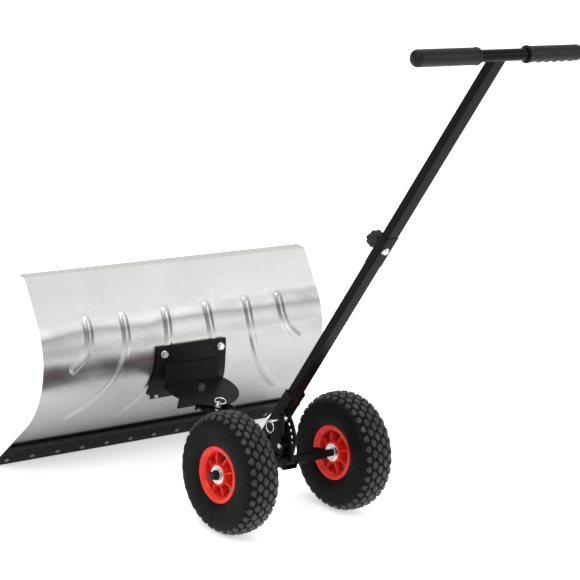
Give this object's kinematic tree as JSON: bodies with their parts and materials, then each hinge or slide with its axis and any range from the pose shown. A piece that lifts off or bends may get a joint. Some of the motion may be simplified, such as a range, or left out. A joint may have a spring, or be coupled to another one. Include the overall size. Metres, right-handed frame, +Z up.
{
  "type": "wheeled snow shovel",
  "caption": "Push-along snow shovel: a wide curved steel blade with a rubber strip swivels on a wheeled frame, steered by a tilting T-handle with pinned index positions.",
  "frame": {"origin": "on the ground plane, at the centre of the whole object seen from above", "axes": "+X to the right along the axle, +Y forwards in the push direction, +Z up"},
  "size_m": [0.76, 1.0038, 1.0745],
  "materials": {
    "black_frame": "glossy black paint on steel plate and tube",
    "black_handle": "glossy black paint on rectangular steel tube",
    "dark_axle": "satin black steel bar",
    "zinc": "bright zinc plated fasteners",
    "ring_steel": "bright nickel plated wire",
    "bearing_steel": "bright bearing steel",
    "nylon": "natural nylon",
    "cap_plastic": "black moulded plastic",
    "knob_plastic": "black moulded plastic, slightly glossy",
    "insert_brass": "turned brass",
    "tyre_rubber": "matt grey black rubber with moulded tread",
    "tube_rubber": "smooth black butyl rubber",
    "red_plastic": "glossy red moulded plastic",
    "galvanised_sheet": "bright galvanised sheet with soft reflections",
    "strip_rubber": "black rubber scraper strip",
    "grip_rubber": "soft black moulded grip"
  },
  "bodies": {
    "chassis": {"push_beam": "black_frame", "axle": "dark_axle", "axle_gussets": "black_frame", "quadrant_plate": "black_frame", "tilt_cheeks": "black_frame", "cheek_bolt": "zinc", "tilt_bolt": "zinc", "tilt_nut": "zinc", "tilt_spacers": "nylon", "index_plate": "black_frame", "thrust_washer": "nylon", "swivel_bolt": "zinc", "swivel_nut": "zinc", "axle_washers": "zinc", "axle_caps": "cap_plastic"},
    "left_wheel": {"left_tyre": "tyre_rubber", "left_inner_tube": "tube_rubber", "left_rim_outer": "red_plastic", "left_rim_inner": "red_plastic", "left_bearings": "bearing_steel", "left_hub_sleeve": "bearing_steel", "left_rim_screws": "zinc"},
    "right_wheel": {"right_tyre": "tyre_rubber", "right_inner_tube": "tube_rubber", "right_rim_outer": "red_plastic", "right_rim_inner": "red_plastic", "right_bearings": "bearing_steel", "right_hub_sleeve": "bearing_steel", "right_rim_screws": "zinc"},
    "blade_unit": {"blade": "galvanised_sheet", "scraper_strip": "strip_rubber", "strip_screws": "zinc", "strip_nuts": "zinc", "mount_plate": "black_frame", "mount_bolts": "zinc", "mount_nuts": "zinc", "swivel_bracket": "black_frame", "lower_brace": "black_frame", "blade_pin_housing": "zinc"},
    "blade_lock_pin": {"blade_pin": "zinc"},
    "blade_pull_ring": {"blade_pin_ring": "ring_steel"},
    "handle": {"left_handle_cheek": "black_frame", "right_handle_cheek": "black_frame", "pin_bracket": "black_frame", "lower_tube": "black_handle", "tube_sleeve": "black_handle", "upper_tube": "black_handle", "tube_bolts": "black_frame", "tube_nuts": "black_frame", "clamp_bolt": "zinc", "crossbar": "black_handle", "left_grip": "grip_rubber", "right_grip": "grip_rubber", "handle_pin_housing": "zinc"},
    "handle_lock_pin": {"handle_pin": "zinc"},
    "handle_pull_ring": {"handle_pin_ring": "ring_steel"},
    "knob": {"clamp_knob": "knob_plastic", "knob_insert": "insert_brass"}
  },
  "joints": [
    {"name": "left_wheel_spin", "type": "hinge", "parent": "chassis", "child": "left_wheel", "pos_m": [-0.153, -0.02308, 0.127], "axis": [1, 0, 0], "continuous": true},
    {"name": "right_wheel_spin", "type": "hinge", "parent": "chassis", "child": "right_wheel", "pos_m": [0.153, -0.02308, 0.127], "axis": [1, 0, 0], "continuous": true},
    {"name": "blade_swivel", "type": "hinge", "parent": "chassis", "child": "blade_unit", "pos_m": [0, 0.28581, 0.17368], "axis": [0, -0.1616, 0.9869], "range_deg": [-25, 25]},
    {"name": "blade_pin_slide", "type": "slide", "parent": "blade_unit", "child": "blade_lock_pin", "axis": [0, 0.1616, -0.9869], "range_m": [0, 0.004]},
    {"name": "blade_ring_swing", "type": "hinge", "parent": "blade_lock_pin", "child": "blade_pull_ring", "pos_m": [-0.02025, 0.19481, 0.18675], "axis": [0.5299, -0.8369, -0.137], "range_deg": [0, 140]},
    {"name": "handle_tilt", "type": "hinge", "parent": "chassis", "child": "handle", "pos_m": [0, 0.04292, 0.161], "axis": [1, 0, 0], "range_deg": [-10.2, 40.8]},
    {"name": "handle_pin_slide", "type": "slide", "parent": "handle", "child": "handle_lock_pin", "axis": [1, 0, 0], "range_m": [0, 0.006]},
    {"name": "handle_ring_swing", "type": "hinge", "parent": "handle_lock_pin", "child": "handle_pull_ring", "pos_m": [-0.045, -0.00823, 0.21585], "axis": [0, 1, 0], "range_deg": [-40, 75]},
    {"name": "knob_turn", "type": "hinge", "parent": "handle", "child": "knob", "pos_m": [0, -0.22051, 0.64763], "axis": [0, 0.8616, 0.5075], "continuous": true}
  ]
}
